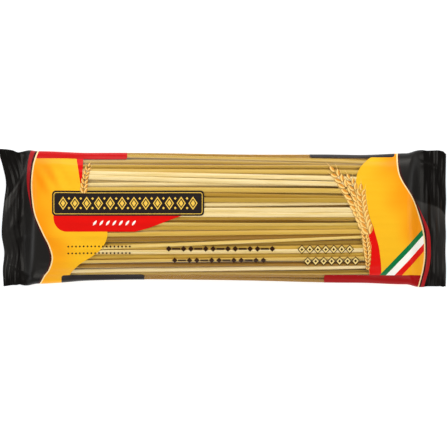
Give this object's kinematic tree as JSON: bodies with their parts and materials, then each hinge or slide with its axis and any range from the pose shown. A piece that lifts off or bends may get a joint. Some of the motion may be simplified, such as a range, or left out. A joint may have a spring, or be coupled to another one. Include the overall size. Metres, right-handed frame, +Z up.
{
  "type": "pasta packet",
  "caption": "Sealed printed film packet of long flat pasta, flat crimped seals at both ends, clear window over the strands, lying on its back.",
  "frame": {"origin": "on the surface that the packet lies on, under the middle of the packet", "axes": "+X along the pasta strands, from the end with the long printed plate to the end with the striped ribbon; +Y across the front, towards the top edge of the print; +Z up, out of the front"},
  "size_m": [0.305, 0.0941, 0.0269],
  "materials": {
    "printed_film": "glossy printed film in charcoal, orange and yellow, crimped at the ends",
    "clear_film": "clear glossy film over the pasta, drawn tight over the strands",
    "dry_pasta": "dry durum wheat pasta, smooth, slightly translucent, satin"
  },
  "bodies": {
    "root": {"packet": "printed_film"}
  },
  "joints": []
}
